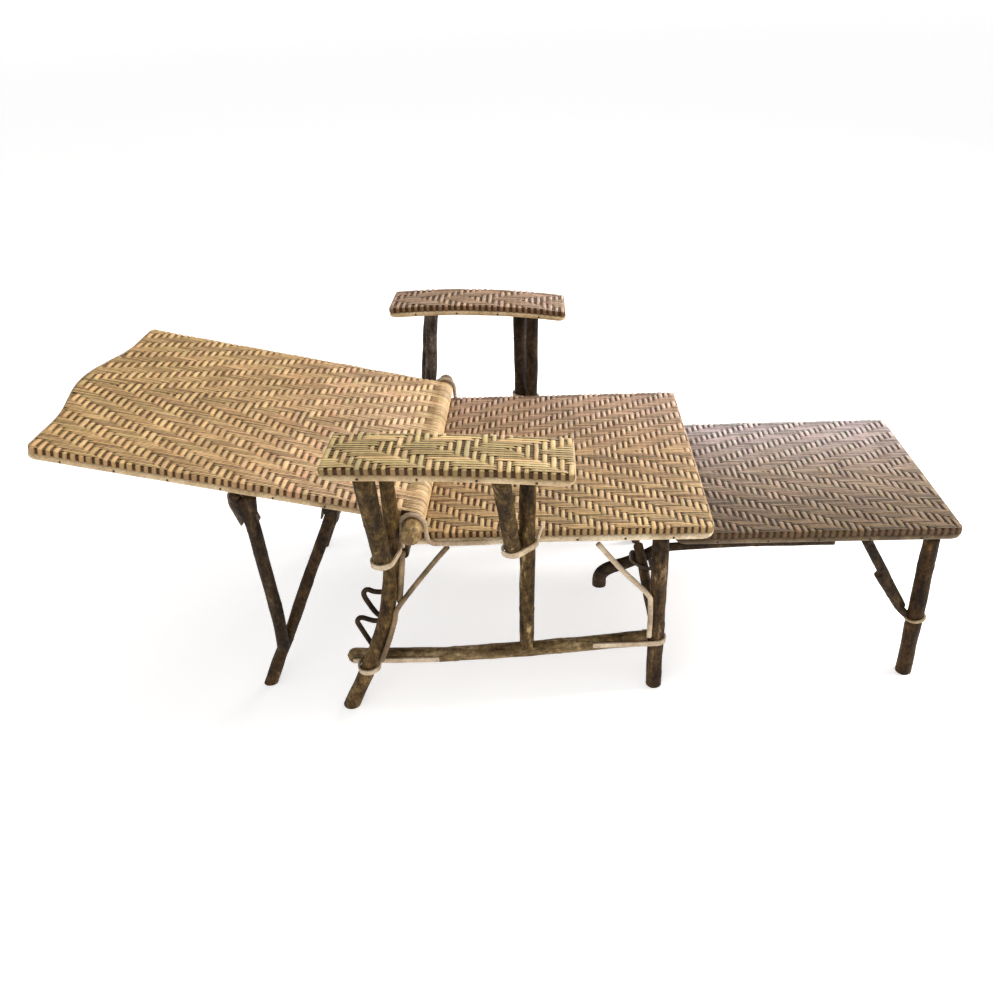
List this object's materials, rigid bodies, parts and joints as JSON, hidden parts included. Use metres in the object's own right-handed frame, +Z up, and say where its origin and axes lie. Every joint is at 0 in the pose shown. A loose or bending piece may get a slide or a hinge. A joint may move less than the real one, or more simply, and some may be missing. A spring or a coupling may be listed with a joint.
{
  "type": "rattan chaise longue",
  "caption": "Rattan chaise longue: woven seat and armrests on bark-covered poles, a propped back that turns on a pole, and a legged footrest that slides under the seat.",
  "frame": {"origin": "on the floor under the middle of the object's bounding box, with the back laid down on its prop and the footrest pulled out", "axes": "+Z up, +X from the head end towards the footrest, +Y from the near side to the far side; the seated person faces +X"},
  "size_m": [1.5304, 0.768, 0.5502],
  "materials": {
    "woven_seat": "split cane woven in a chevron twill, satin",
    "seat_edge_cane": "whole cane, satin",
    "pole_bark": "rattan pole with its bark on, matt",
    "woven_arm_near": "split cane woven in a coarse chevron twill, satin",
    "woven_arm_far": "split cane woven in a coarse chevron twill, satin",
    "edge_cane": "whole cane, satin",
    "pale_cane": "split cane, satin",
    "dark_bark": "rattan pole with dark bark, matt",
    "nail_iron": "blackened iron, matt",
    "woven_back": "split cane woven in a chevron twill, satin",
    "woven_footrest": "split cane woven in a chevron twill, satin"
  },
  "bodies": {
    "frame": {"seat_weave": "woven_seat", "seat_rim": "seat_edge_cane", "seat_rail_near": "pole_bark", "seat_rail_far": "pole_bark", "seat_cross_rails": "pole_bark", "front_bearer": "pole_bark", "rear_bearer": "pole_bark", "rear_leg_near": "pole_bark", "rear_leg_far": "pole_bark", "front_leg_near": "pole_bark", "front_leg_far": "pole_bark", "stretcher_near": "pole_bark", "stretcher_far": "pole_bark", "arm_post_near": "pole_bark", "arm_post_far": "pole_bark", "arm_rear_struts": "pole_bark", "arm_front_struts": "pole_bark", "arm_weave_near": "woven_arm_near", "arm_weave_far": "woven_arm_far", "arm_rim_near": "edge_cane", "arm_rim_far": "edge_cane", "arm_frame_near": "pole_bark", "arm_frame_far": "pole_bark", "front_braces": "pale_cane", "rear_braces": "pale_cane", "notch_rack_near": "dark_bark", "notch_rack_far": "dark_bark", "hinge_loops": "pale_cane", "frame_straps": "pale_cane", "frame_nails": "nail_iron"},
    "back": {"hinge_pole": "pole_bark", "back_weave": "woven_back", "back_rim": "edge_cane", "back_rail_near": "pole_bark", "back_rail_far": "pole_bark", "back_cross_rails": "pole_bark", "prop_pivot_pole": "dark_bark", "back_nails": "nail_iron"},
    "prop": {"prop_strut_near": "dark_bark", "prop_strut_far": "dark_bark", "prop_leg_near": "dark_bark", "prop_leg_far": "dark_bark", "prop_head_bar": "dark_bark", "prop_straps": "pale_cane"},
    "footrest": {"footrest_weave": "woven_footrest", "footrest_rim": "edge_cane", "footrest_rail_near": "pole_bark", "footrest_rail_far": "pole_bark", "footrest_cross_rails": "pole_bark", "footrest_leg_near": "pole_bark", "footrest_leg_far": "pole_bark", "footrest_inner_leg_near": "pole_bark", "footrest_inner_leg_far": "pole_bark", "footrest_braces": "dark_bark", "crook_arm_near": "dark_bark", "crook_arm_far": "dark_bark", "footrest_straps": "pale_cane", "footrest_nails": "nail_iron"}
  },
  "joints": [
    {"name": "back_recline", "type": "hinge", "parent": "frame", "child": "back", "pos_m": [-0.14678, 0, 0.3714], "axis": [0, 1, 0], "range_deg": [0, 60]},
    {"name": "prop_swing", "type": "hinge", "parent": "back", "child": "prop", "pos_m": [-0.28295, 0, 0.39062], "axis": [0, 1, 0], "range_deg": [-74.1, 0]},
    {"name": "footrest_slide", "type": "slide", "parent": "frame", "child": "footrest", "axis": [-1, 0, 0], "range_m": [0, 0.426]}
  ],
  "couplings": [
    {"joint": "prop_swing", "follows": "back_recline", "ratio": -1.235}
  ]
}
